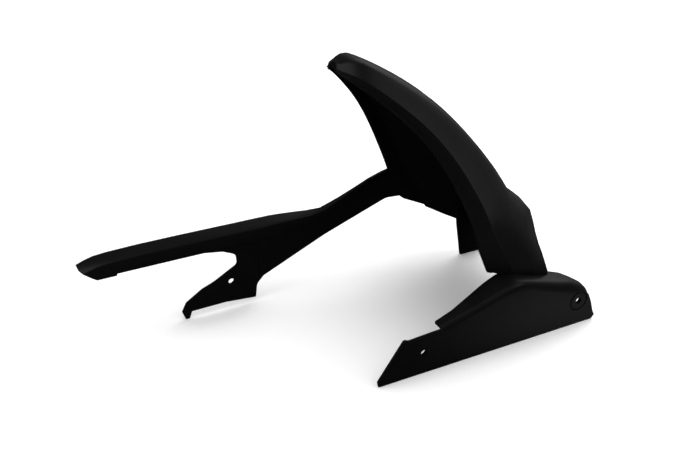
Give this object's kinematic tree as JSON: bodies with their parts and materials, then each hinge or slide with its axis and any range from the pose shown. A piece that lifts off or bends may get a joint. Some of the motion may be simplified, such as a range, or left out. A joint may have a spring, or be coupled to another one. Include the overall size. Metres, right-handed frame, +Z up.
{
  "type": "rear hugger mudguard",
  "caption": "Rear hugger mudguard for a motorcycle swingarm, with bolt-on side cover, chain guard and bracket arm, in satin black plastic.",
  "frame": {"origin": "middle of the front cover bolt hole, on the outer face of the swingarm cover (right side of the bike)", "axes": "+X forward on the bike, +Y to the bike's left (from the cover towards the chain guard), +Z up"},
  "size_m": [0.4628, 0.2091, 0.2713],
  "materials": {
    "black_plastic": "satin"
  },
  "bodies": {
    "root": {"mudguard": "black_plastic"}
  },
  "joints": []
}
